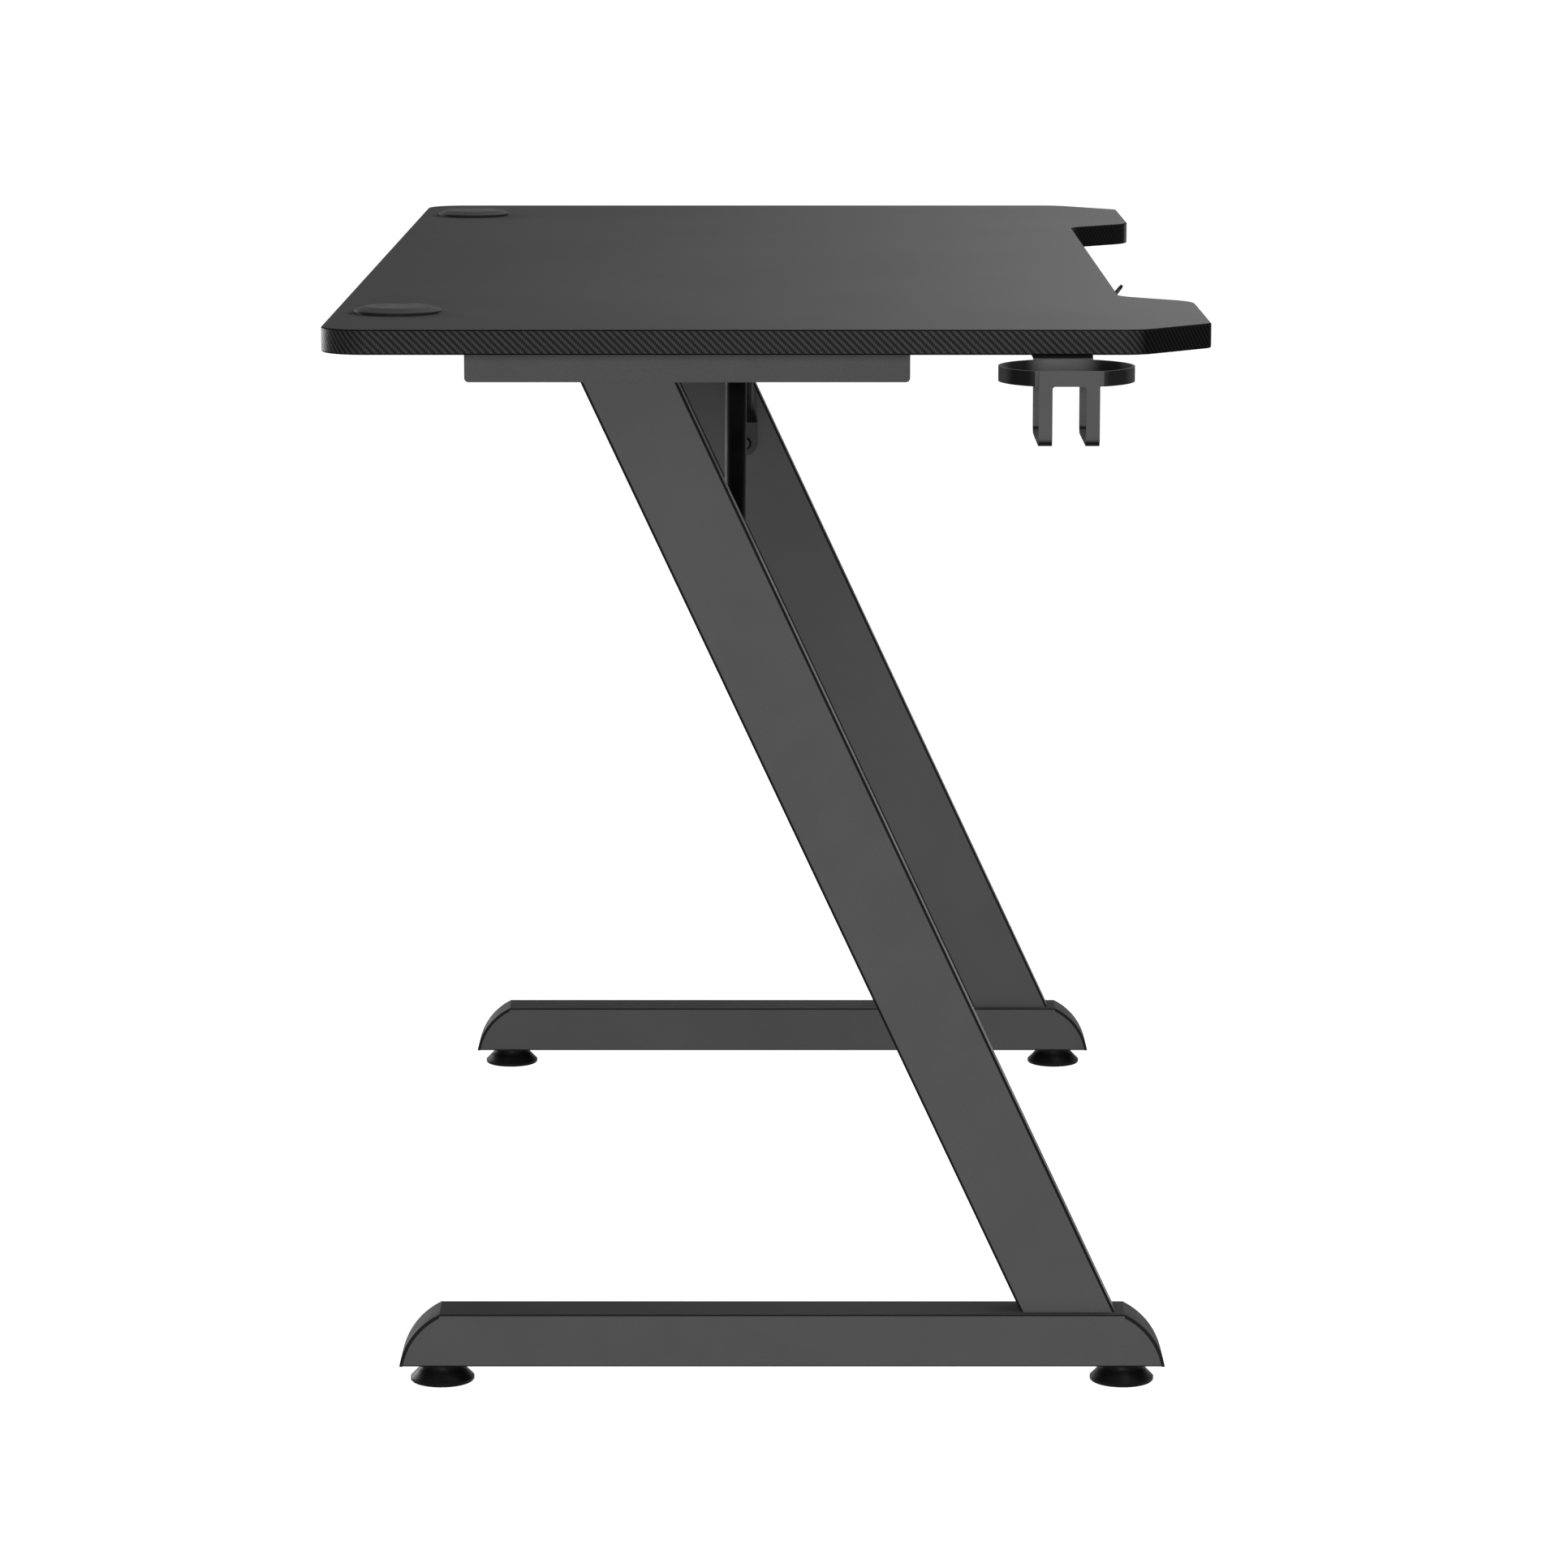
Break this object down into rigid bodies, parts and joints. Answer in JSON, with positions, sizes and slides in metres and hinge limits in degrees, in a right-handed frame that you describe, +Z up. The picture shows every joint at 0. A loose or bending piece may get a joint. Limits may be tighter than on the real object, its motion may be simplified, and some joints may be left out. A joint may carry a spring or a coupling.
{
  "type": "gaming desk",
  "caption": "Gaming desk with a shaped laminate worktop on slanted tube legs and foot bars, with diagonal braces, levelling feet, cable grommets, a cup holder and a headphone hook.",
  "frame": {"origin": "on the floor under the middle of the overall box of the desk with its cup holder", "axes": "+X along the desk to the user's right, +Y to the rear edge, +Z up"},
  "size_m": [1.291, 0.6013, 0.755],
  "materials": {
    "fibreboard": "raw pressed fibre",
    "laminate": "fine matte grain",
    "edge_band": "woven fibre print",
    "grommet_plastic": "satin",
    "cap_plastic": "fine stipple",
    "pad_plastic": "smooth",
    "plated_steel": "zinc plated",
    "black_enamel": "gloss",
    "accessory_coating": "satin",
    "frame_coating": "fine texture powder coat"
  },
  "bodies": {
    "desk": {"cup_cradle": "accessory_coating", "cup_ring": "accessory_coating", "cup_screws": "plated_steel", "desktop_core": "fibreboard", "desktop_laminate": "laminate", "edge_band": "edge_band", "headphone_hook": "accessory_coating", "hook_screws": "plated_steel", "left_board_inserts": "plated_steel", "left_brace": "black_enamel", "left_brace_bolt": "plated_steel", "left_brace_nut": "plated_steel", "left_brace_screw": "plated_steel", "left_bracket_screws": "plated_steel", "left_foot_bar": "frame_coating", "left_front_end_cap": "cap_plastic", "left_front_weld_nut": "plated_steel", "left_grommet_sleeve": "grommet_plastic", "left_leg": "frame_coating", "left_leg_bolts": "plated_steel", "left_leg_plate": "frame_coating", "left_rear_end_cap": "cap_plastic", "left_rear_weld_nut": "plated_steel", "left_top_bracket": "frame_coating", "right_board_inserts": "plated_steel", "right_brace": "black_enamel", "right_brace_bolt": "plated_steel", "right_brace_nut": "plated_steel", "right_brace_screw": "plated_steel", "right_bracket_screws": "plated_steel", "right_foot_bar": "frame_coating", "right_front_end_cap": "cap_plastic", "right_front_weld_nut": "plated_steel", "right_grommet_sleeve": "grommet_plastic", "right_leg": "frame_coating", "right_leg_bolts": "plated_steel", "right_leg_plate": "frame_coating", "right_rear_end_cap": "cap_plastic", "right_rear_weld_nut": "plated_steel", "right_top_bracket": "frame_coating"},
    "left_front_leveller": {"left_front_leveller_pad": "pad_plastic", "left_front_leveller_stud": "plated_steel"},
    "left_rear_leveller": {"left_rear_leveller_pad": "pad_plastic", "left_rear_leveller_stud": "plated_steel"},
    "left_lid": {"left_grommet_lid": "grommet_plastic"},
    "right_front_leveller": {"right_front_leveller_pad": "pad_plastic", "right_front_leveller_stud": "plated_steel"},
    "right_rear_leveller": {"right_rear_leveller_pad": "pad_plastic", "right_rear_leveller_stud": "plated_steel"},
    "right_lid": {"right_grommet_lid": "grommet_plastic"}
  },
  "joints": [
    {"name": "left_front_levelling", "type": "slide", "parent": "desk", "child": "left_front_leveller", "axis": [0, 0, -1], "range_m": [0, 0.01]},
    {"name": "left_rear_levelling", "type": "slide", "parent": "desk", "child": "left_rear_leveller", "axis": [0, 0, -1], "range_m": [0, 0.01]},
    {"name": "left_lid_turn", "type": "hinge", "parent": "desk", "child": "left_lid", "pos_m": [-0.42751, 0.255, 0.75], "axis": [0, 0, 1], "continuous": true},
    {"name": "right_front_levelling", "type": "slide", "parent": "desk", "child": "right_front_leveller", "axis": [0, 0, -1], "range_m": [0, 0.01]},
    {"name": "right_rear_levelling", "type": "slide", "parent": "desk", "child": "right_rear_leveller", "axis": [0, 0, -1], "range_m": [0, 0.01]},
    {"name": "right_lid_turn", "type": "hinge", "parent": "desk", "child": "right_lid", "pos_m": [0.51849, 0.255, 0.75], "axis": [0, 0, 1], "continuous": true}
  ]
}
